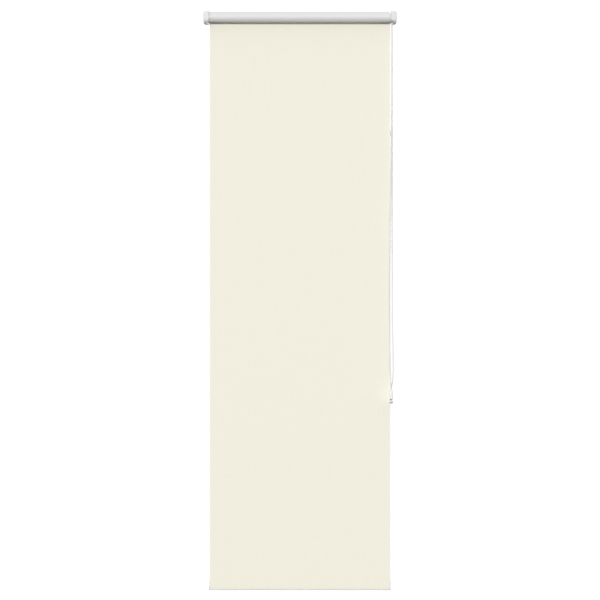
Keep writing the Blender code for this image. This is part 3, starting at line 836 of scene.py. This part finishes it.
def strip(name, points):
    """A band as wide as the sheet, pulled along points (y, z) edge by edge, its front outwards."""
    start_new()
    (y0, z0), (y1, z1) = points[0], points[1]
    bpy.ops.mesh.primitive_plane_add(size=1)
    obj = bpy.context.object
    obj.scale = (2 * HALF_WIDTH, math.hypot(y1 - y0, z1 - z0), 1)
    obj.location = (0, (y0 + y1) / 2, (z0 + z1) / 2)
    obj.rotation_euler = (math.atan2(z1 - z0, y1 - y0), 0, 0)
    obj = fresh(name)
    last = points[1]
    for y, z in points[2:]:
        tip = Vector((0, *last))
        choose(
            obj,
            "EDGE",
            lambda e: runs_along_x(obj, e) and (edge_middle(obj, e) - tip).length < 0.00003,
        )
        step = (0, y - last[0], z - last[1])
        bpy.ops.mesh.extrude_region_move(TRANSFORM_OT_translate={"value": step})
        leave_edit()
        last = (y, z)
    edit_all(obj)
    bpy.ops.mesh.flip_normals()
    leave_edit()
    return obj


# %% Wrap the roll
TURN_STEP = 5  # degrees
OUTER_TURN_END = 310
INNER_TURN_START = -50
INNER_TURN_END = 300
START_OUT = 0.0003  # how much further out the outer turn starts, where the sheet leaves it
START_DEGREES = 60  # by where it has closed on to the roll
LAYER_GAP = 0.00002  # keeps the inner turn clear of the outer one
SPIRAL = 0.0001  # how much the inner turn winds inwards in one turn

roll_low, roll_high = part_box("fabric_roll")
ROLL_RADIUS = (roll_high.z - roll_low.z) / 2


def on_roll(radius, degrees):
    """A point (y, z) round the roller's axis; 0 degrees faces the wall and 90 degrees is up."""
    angle = math.radians(degrees)
    return AXIS_Y + radius * math.cos(angle), radius * math.sin(angle)


def round_the_roll(co):
    """How far round the roll a point is, measured along the cloth."""
    angle = math.atan2(co.z, co.y - AXIS_Y) % (2 * math.pi)
    return angle * ROLL_RADIUS


outer_line = []
for degrees in range(0, OUTER_TURN_END + TURN_STEP, TURN_STEP):
    further_out = START_OUT * max(0.0, 1 - degrees / START_DEGREES)
    outer_line.append(on_roll(ROLL_RADIUS + CLOTH + further_out, degrees))
outer_turn = strip("fabric_outer_turn", outer_line)
make_cloth(outer_turn, wall_side, room_side, round_the_roll)

inner_line = []
for degrees in range(INNER_TURN_START, INNER_TURN_END + TURN_STEP, TURN_STEP):
    inner_line.append(on_roll(ROLL_RADIUS - LAYER_GAP - SPIRAL * degrees / 360, degrees))
inner_turn = strip("fabric_inner_turn", inner_line)
make_cloth(inner_turn, wall_side, room_side, round_the_roll)

# %% [markdown]
# ## The hem
#
# The cloth is folded back on itself round the flat bar and welded to its own back. From the room the hem
# is only a softly rounded lower edge. From behind, the pocket bulges over the bar, and a flat weld band
# closes it. Its outline is drawn from the side, and the same band of cloth is pulled along it.

# %% Fold the pocket
FOLD = 0.0018  # radius of the two folds under the bar
SHOULDER = 0.0014  # radius of the bend over the bar, at the back
SHOULDER_DROP = 0.0016
WELD = 0.005  # height of the weld band
WELD_FOOT = 0.0016  # height over the pocket at which the band starts
WELD_GAP = 0.0001

front, back = hem_low.y, hem_high.y
foot, top = hem_low.z, hem_high.z
weld_y = front + 2 * CLOTH + WELD_GAP


def bend_line(centre_y, centre_z, radius, start, end, steps=5):
    """Points (y, z) along a bend; 0 degrees faces the wall and 90 degrees is up."""
    points = []
    for step in range(steps + 1):
        angle = math.radians(start + (end - start) * step / steps)
        points.append((centre_y + radius * math.cos(angle), centre_z + radius * math.sin(angle)))
    return points


pocket_line = [(front, top), (front, (top + foot) / 2)]
pocket_line += bend_line(front + FOLD, foot + FOLD, FOLD, 180, 270)
pocket_line += bend_line(back - FOLD, foot + FOLD, FOLD, 270, 360)
pocket_line += [(back, (top + foot) / 2), (back, top - SHOULDER_DROP)]
pocket_line += bend_line(back - SHOULDER, top - SHOULDER_DROP, SHOULDER, 0, 62, 4)[1:]
pocket_line += [(weld_y + 0.00035, top + WELD_FOOT / 2), (weld_y, top + WELD_FOOT)]
pocket_line += [(weld_y, top + WELD_FOOT + WELD)]
hem = strip("hem_pocket_cloth", pocket_line)
middle_y = (front + back) / 2
make_cloth(hem, room_side, wall_side, lambda co: co.z if co.y < middle_y else 2 * foot - co.z)

# %% [markdown]
# ## Bar end caps
#
# Each end of the hem is closed by a small grey cap pushed into the bar. It is a moulded part with a soft
# edge all round.

# %% Bar caps
bar_caps = []
for node in ("left_bar_cap", "right_bar_cap"):
    bar_caps.append(soft_copy(node, node + "_moulded", grey_plastic, 0.00035, 3))

# %% [markdown]
# ## Bracket covers
#
# A cover is a thin shell that clips over the bracket. Its front runs round under the roller like a
# quarter of a barrel, its outer corners are rounded, and it is open to the wall and to the roller. The
# chain needs a way out, so a notch is cut from the inner lower corner: a deep one at the chain's end and
# a shallow one at the other end, where only the plug's rim shows. It starts as a cube: edges get their
# own roundings by bevel weight, two faces go, and what is left gets its wall thickness.

# %% Cover shells
COVER_WALL = 0.0015
BARREL = 0.0125
CORNER_BELOW = 0.0065
CORNER_ABOVE = 0.0052
CORNER_FRONT = 0.0020
TOP_FRONT = 0.0028
NOTCH_OUTER_X = 0.2416  # the notch stops short of the cover's outer plate
NOTCH_BACK_Y = AXIS_Y + 0.0145
LEFT_NOTCH_TOP = -0.0152
RIGHT_NOTCH_TOP = -0.0092
PAST = 0.002  # how far a cutter reaches past what it cuts


def cut_with_box(obj, low, high):
    """Takes a box out of a piece."""
    start_new()
    middle = (low + high) / 2
    bpy.ops.mesh.primitive_cube_add(size=1, location=middle, scale=high - low)
    cutter = fresh("cutter")
    take = obj.modifiers.new("cut", "BOOLEAN")
    take.operation = "DIFFERENCE"
    take.object = cutter
    apply_all(obj)
    bpy.data.objects.remove(cutter)


def make_cover(node, name, side, notch_top):
    """A cover on one side, -1 or 1, made to the CAD cover's box."""
    low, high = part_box(node)
    start_new()
    bpy.ops.mesh.primitive_cube_add(size=1, location=(low + high) / 2, scale=high - low)
    shell = fresh(name)
    outer_x = high.x if side > 0 else low.x
    inner_x = low.x if side > 0 else high.x

    def at(edge, **where):
        middle = edge_middle(shell, edge)
        return all(abs(getattr(middle, axis) - value) < 0.00001 for axis, value in where.items())

    for where, radius in (
        ({"y": low.y, "z": low.z}, BARREL),
        ({"y": low.y, "z": high.z}, TOP_FRONT),
        ({"x": outer_x, "z": low.z}, CORNER_BELOW),
        ({"x": outer_x, "z": high.z}, CORNER_ABOVE),
        ({"x": outer_x, "y": low.y}, CORNER_FRONT),
    ):
        found = choose(shell, "EDGE", lambda e: at(e, **where))
        bpy.ops.transform.edge_bevelweight(value=radius / BARREL)
        leave_edit()
        print("edges:", found, "radius", radius)
    rounding = shell.modifiers.new("rounding", "BEVEL")
    rounding.limit_method = "WEIGHT"
    rounding.width = BARREL
    rounding.segments = 10
    apply_all(shell)

    def is_open(face):
        to_roller = face.normal.x * side < -0.99 and abs(face.center.x - inner_x) < 0.00001
        return face.normal.y > 0.99 or to_roller

    choose(shell, "FACE", is_open)
    bpy.ops.mesh.delete(type="FACE")
    leave_edit()
    wall = shell.modifiers.new("wall", "SOLIDIFY")
    wall.thickness = COVER_WALL
    wall.offset = -1
    wall.use_even_offset = True
    apply_all(shell)
    notch_x = sorted((inner_x - side * PAST, side * NOTCH_OUTER_X))
    cut_with_box(
        shell,
        Vector((notch_x[0], low.y - PAST, low.z - PAST)),
        Vector((notch_x[1], NOTCH_BACK_Y, notch_top)),
    )
    soften(shell, 0.0003, corner=40)
    shell.data.materials.append(cover_plastic)
    print(name, "faces:", faces_of(shell))
    return shell


left_cover = make_cover("left_bracket_cover", "left_cover_shell", -1, LEFT_NOTCH_TOP)
right_cover = make_cover("right_bracket_cover", "right_cover_shell", 1, RIGHT_NOTCH_TOP)

# %% [markdown]
# ## Brackets and wall screws
#
# The brackets are bent from steel sheet and plated, so only their edges need softening. The wall screws
# are real screws: a thread winds down the shank, and the pan head has a cross recess. The thread is a
# small triangle wound round the shank by a Screw modifier, and the recess is cut with two thin boxes.

# %% Brackets
brackets = []
for node in ("left_bracket", "right_bracket"):
    brackets.append(soft_copy(node, node + "_plated", zinc_steel, 0.0003))

# %% Cross recess


def cut_cross(screw, centre, long, narrow, near_y, far_y):
    """Cuts a cross into the head of a screw that faces the room."""
    for wide, tall in ((long, narrow), (narrow, long)):
        half = Vector((wide / 2, 0, tall / 2))
        near = Vector((centre.x, near_y, centre.z)) - half
        far = Vector((centre.x, far_y, centre.z)) + half
        cut_with_box(screw, near, far)


# %% Wall screws
CROSS_LONG, CROSS_NARROW, CROSS_DEEP = 0.0040, 0.0008, 0.0013
SHANK_RADIUS = 0.0020
THREAD_HEIGHT = 0.00042
THREAD_PITCH = 0.0016
THREAD_TURNS = 12
BARE_TIP = 0.0028


def make_wall_screw(node, name):
    """A copy of a CAD screw with a cross recess and a wound thread."""
    low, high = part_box(node)
    centre = (low + high) / 2
    screw = copy_of(node, name)
    cut_cross(screw, centre, CROSS_LONG, CROSS_NARROW, low.y - 0.001, low.y + CROSS_DEEP)
    soften(screw, 0.00015, corner=40)
    start_new()
    bpy.ops.mesh.primitive_circle_add(vertices=3, radius=THREAD_HEIGHT, fill_type="NOTHING")
    ridge = bpy.context.object
    ridge.data.transform(ridge.matrix_world.inverted())
    for vertex in ridge.data.vertices:
        vertex.co = (SHANK_RADIUS + vertex.co.y, vertex.co.x, 0)
    wind = ridge.modifiers.new("wind", "SCREW")
    wind.axis = "Y"
    wind.angle = 2 * math.pi
    wind.screw_offset = THREAD_PITCH
    wind.iterations = THREAD_TURNS
    wind.steps = wind.render_steps = 16
    apply_all(ridge)
    ridge.location = (centre.x, high.y - THREAD_PITCH * THREAD_TURNS - BARE_TIP, centre.z)
    ridge = fresh("ridge")
    edit_all(ridge)
    bpy.ops.mesh.remove_doubles(threshold=SAME_PLACE)
    bpy.ops.mesh.select_mode(type="EDGE")
    bpy.ops.mesh.select_all(action="DESELECT")
    bpy.ops.mesh.select_non_manifold()
    bpy.ops.mesh.edge_face_add()
    bpy.ops.mesh.select_all(action="SELECT")
    bpy.ops.mesh.normals_make_consistent(inside=False)
    leave_edit()
    join_to(screw, [ridge])
    smooth(screw, 40)
    screw.data.materials.append(screw_steel)
    print(name, "faces:", faces_of(screw))
    return screw


wall_screws = {}
for side in ("left", "right"):
    for level in ("upper", "lower"):
        node = side + "_" + level + "_wall_screw"
        wall_screws[node] = make_wall_screw(node, node + "_threaded")

# %% [markdown]
# ## Wheel and pulley pockets
#
# A bead chain can't slip because the beads sit in pockets. Between two beads the wheel has a pair of
# small teeth with the cord running between them. A tooth is a box with soft edges, turned into its place
# with `center_override`, and each pair lies midway between two beads of the chain.

# %% Teeth
TOOTH_THICK = 0.00095


def add_teeth(wheel, centre, pockets, bead_angle, reach, width):
    """Joins pairs of teeth to a wheel, the first pair half a pocket past a bead at bead_angle. reach is
    (inner, outer) radius, and width is (inner, outer) distance from the wheel's middle plane."""
    first_angle = bead_angle + 180 / pockets
    teeth = []
    for number in range(pockets):
        for side in (-1, 1):
            start_new()
            x = centre.x + side * (width[0] + width[1]) / 2
            bpy.ops.mesh.primitive_cube_add(
                size=1,
                location=(x, centre.y + (reach[0] + reach[1]) / 2, centre.z),
                scale=(width[1] - width[0], reach[1] - reach[0], TOOTH_THICK),
            )
            tooth = soften(fresh("tooth"), 0.0002)
            edit_all(tooth)
            bpy.ops.transform.rotate(
                value=-math.radians(first_angle + 360 * number / pockets),
                orient_axis="X",
                center_override=(x, centre.y, centre.z),
            )
            leave_edit()
            teeth.append(tooth)
    join_to(wheel, teeth)
    smooth(wheel)
    wheel.data.materials.append(wheel_plastic)
    print(wheel.name, "faces:", faces_of(wheel))


def bead_angle_on_pulley():
    """Where a bead sits on the pulley: its angle, from the beads' places along the chain."""
    travelled = 0.0
    for start, end in zip(chain_line, chain_line[1:]):
        on_pulley = (start - PULLEY_CENTRE).length < PULLEY_PITCH_RADIUS * 1.0005
        if on_pulley and start.z < PULLEY_CENTRE.z + 0.0001:
            break
        travelled += (end - start).length
    past = bead_pitch - travelled % bead_pitch
    return 180 + math.degrees(past / PULLEY_PITCH_RADIUS)


# %% Wheel and pulley
WHEEL_REACH = (0.0086, 0.0116)
WHEEL_WIDTH = (0.0008, 0.0026)
PULLEY_WIDTH = (0.0008, 0.0021)

wheel = soften(copy_of("chain_wheel", "chain_wheel_pocketed"), 0.0002)
add_teeth(wheel, WHEEL_CENTRE, WHEEL_POCKETS, 90 + LOOP_END, WHEEL_REACH, WHEEL_WIDTH)

pulley = soften(copy_of("tensioner_pulley", "tensioner_pulley_pocketed"), 0.00015)
pulley_low, pulley_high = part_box("tensioner_pulley")
rim = (pulley_high.z - pulley_low.z) / 2
reach = (rim - 0.0022, rim - 0.0001)
add_teeth(pulley, PULLEY_CENTRE, PULLEY_POCKETS, bead_angle_on_pulley(), reach, PULLEY_WIDTH)

# %% [markdown]
# ## Tensioner, sleeve, plug and clutch body
#
# The tensioner is two mouldings that snap together round the pulley. The clear sleeve that joins the
# chain's ends, and the other small parts, are copies with softened edges. The tensioner's body keeps its
# triangles, because its flat side is a narrow U that makes a poor single face. It also has two very
# short edges, so its bevel isn't clamped to them.

# %% Softened small parts
small_parts = {}
for node, material, radius in (
    ("tensioner_body", wheel_plastic, 0.0002),
    ("tensioner_lid", wheel_plastic, 0.0004),
    ("chain_connector", clear_plastic, 0.0002),
    ("idle_plug", wheel_plastic, 0.0002),
    ("clutch_body", wheel_plastic, 0.0002),
):
    small_parts[node] = soft_copy(node, node + "_moulded", material, radius)

# %% [markdown]
# ## A screw waiting in the tensioner
#
# The tensioner hangs free in the loop until its screw is driven into the wall. The screw waits inside
# the deep hole, where the hole's own shade falls on it, and its black finish is painted shade that makes
# the hole look darker from the room. It starts as a cylinder: its front face is pulled out to a head,
# and its far end is scaled to a point.

# %% Tensioner screw
HOLE_X, HOLE_Z = 0.23545, -0.9908
HEAD_INSIDE = 0.0042  # how deep in the hole the head waits
TIP_INSIDE = 0.0010
SHANK = 0.0012  # radius
HEAD_SPREAD = 1.62  # the head's radius beside the shank's
HEAD_DEEP = 0.0010
CROWN_DEEP = 0.0004

body_low, body_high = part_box("tensioner_body")
head_y = body_low.y + HEAD_INSIDE
tip_y = body_high.y - TIP_INSIDE


def pull_face(distance, spread, pivot_y):
    """Pulls the chosen face towards the room and scales it about the hole's axis."""
    bpy.ops.mesh.extrude_region_move(TRANSFORM_OT_translate={"value": (0, -distance, 0)})
    bpy.ops.transform.resize(value=(spread, 1, spread), center_override=(HOLE_X, pivot_y, HOLE_Z))


start_new()
bpy.ops.mesh.primitive_cylinder_add(
    vertices=20,
    radius=SHANK,
    depth=tip_y - head_y,
    location=(HOLE_X, (head_y + tip_y) / 2, HOLE_Z),
    rotation=(math.pi / 2, 0, 0),
)
parked = fresh("tensioner_wall_screw")
choose(parked, "FACE", lambda f: f.normal.y > 0.9)
pull_face(0.0001, 0.2, tip_y)
leave_edit()
choose(parked, "FACE", lambda f: f.normal.y < -0.9)
pull_face(0.0001, HEAD_SPREAD, head_y)
pull_face(HEAD_DEEP, 1, head_y)
pull_face(CROWN_DEEP, 0.7, head_y)
leave_edit()
cut_cross(parked, Vector((HOLE_X, 0, HOLE_Z)), 0.0022, 0.0005, head_y - 0.003, head_y - 0.0007)
soften(parked, 0.00008, segments=1, corner=40)
# Its black finish is painted shade that darkens the deep hole.
parked.data.materials.append(hole_shade_black_steel)
print(parked.name, "faces:", faces_of(parked))

# %% [markdown]
# ## The spring behind the idle pin
#
# This spring gets shorter when the pin is pushed in, so it is a piece of its own. It is a smooth-shaded
# copy of the wound wire.

# %% Idle spring
pin_spring = copy_of("idle_spring", "idle_spring_coiled")
smooth(pin_spring, 60)
pin_spring.data.materials.append(spring_steel)

# %% [markdown]
# ## Finishes for the parts that stay as they are
#
# The tube, the bar, the drive crown, the bush, the clutch's springs and the small steel parts already
# have their true shape in the CAD, so they only take a finish.

# %% Assign finishes
for node, material in {
    "roller_tube": tube_steel,
    "bottom_bar": bar_aluminium,
    "drive_crown": grey_plastic,
    "idle_bush": grey_plastic,
    "wrap_spring_inner": spring_steel,
    "wrap_spring_outer": spring_steel,
    "idle_pin": zinc_steel,
    "clutch_retainer": zinc_steel,
    "clutch_screw": screw_steel,
    "tensioner_pin": spring_steel,
}.items():
    for material_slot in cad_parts[node].material_slots:
        material_slot.material = material
    print(node, "->", material.name)

# %% [markdown]
# ## The floor
#
# A round pale floor lies under the blind. It is only a stage. It is pale and
# glows faintly to the camera alone, so that it is as white as the room and throws no light up on to the
# blind.

# %% Floor
FLOOR_HEIGHT = -1.63
FLOOR_GLOW = 0.24

start_new()
bpy.ops.mesh.primitive_circle_add(
    vertices=96, radius=1.0, fill_type="NGON", location=(0, 0, FLOOR_HEIGHT)
)
floor = fresh("floor")
floor_paint = finish(
    "pale_floor", (0.90, 0.90, 0.89), (0.94, 0.94, 0.93), 0.4, (0.65, 0.8), (0.004, 1, 0.05, 0.0002)
)
tree = floor_paint.node_tree
paint = tree.nodes["Principled BSDF"].inputs
to_camera = tree.nodes.new("ShaderNodeLightPath").outputs["Is Camera Ray"]
tone = paint["Base Color"].links[0].from_socket
black = (0.0, 0.0, 0.0)
feed(tree, paint["Base Color"], two_tones(tree, to_camera, black, tone))
glow = two_tones(tree, to_camera, black, (FLOOR_GLOW, FLOOR_GLOW, FLOOR_GLOW))
feed(tree, paint["Emission Color"], glow)
paint["Emission Strength"].default_value = 1
floor.data.materials.append(floor_paint)
print("floor at", FLOOR_HEIGHT)

# %% [markdown]
# ## Say what moves with what
#
# Every piece rides on a CAD body.

# %% Ride and replace
PIECES = [
    (chain, "root", "chain_plastic", "bead_chain"),
    (sheet, "root", "blackout_fabric", "fabric_sheet"),
    (outer_turn, "root", "fabric_coating", None),
    (inner_turn, "roller", "fabric_coating", "fabric_roll"),
    (hem, "bottom_rail", "blackout_fabric", "hem_pocket"),
    (bar_caps[0], "bottom_rail", "grey_plastic", "left_bar_cap"),
    (bar_caps[1], "bottom_rail", "grey_plastic", "right_bar_cap"),
    (left_cover, "root", "white_plastic", "left_bracket_cover"),
    (right_cover, "root", "white_plastic", "right_bracket_cover"),
    (brackets[0], "root", "bracket_steel", "left_bracket"),
    (brackets[1], "root", "bracket_steel", "right_bracket"),
    (wheel, "roller", "white_plastic", "chain_wheel"),
    (pulley, "tensioner_pulley", "white_plastic", "tensioner_pulley"),
    (small_parts["tensioner_body"], "root", "white_plastic", "tensioner_body"),
    (small_parts["tensioner_lid"], "root", "white_plastic", "tensioner_lid"),
    (small_parts["chain_connector"], "root", "clear_plastic", "chain_connector"),
    (small_parts["idle_plug"], "roller", "white_plastic", "idle_plug"),
    (small_parts["clutch_body"], "root", "white_plastic", "clutch_body"),
    (parked, "root", "screw_steel", None),
    (pin_spring, "roller", "spring_steel", "idle_spring"),
]
PIECES += [(piece, "root", "screw_steel", node) for node, piece in wall_screws.items()]
for piece, body, slot, node in PIECES:
    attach(piece, body)
    if node:
        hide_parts(node)
    print(piece.name, "rides", body)

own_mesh(sheet)
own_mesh(pin_spring)

# %% Cord and sheet
print("declared:", chain.name, sheet.name)

# %% [markdown]
# ## The CAD box
#
# The CAD model's box is printed. The finished model has to stay inside the CAD model's size.

# %% Sizes
print("CAD box:", [[round(v, 4) for v in corner] for corner in cad_box])
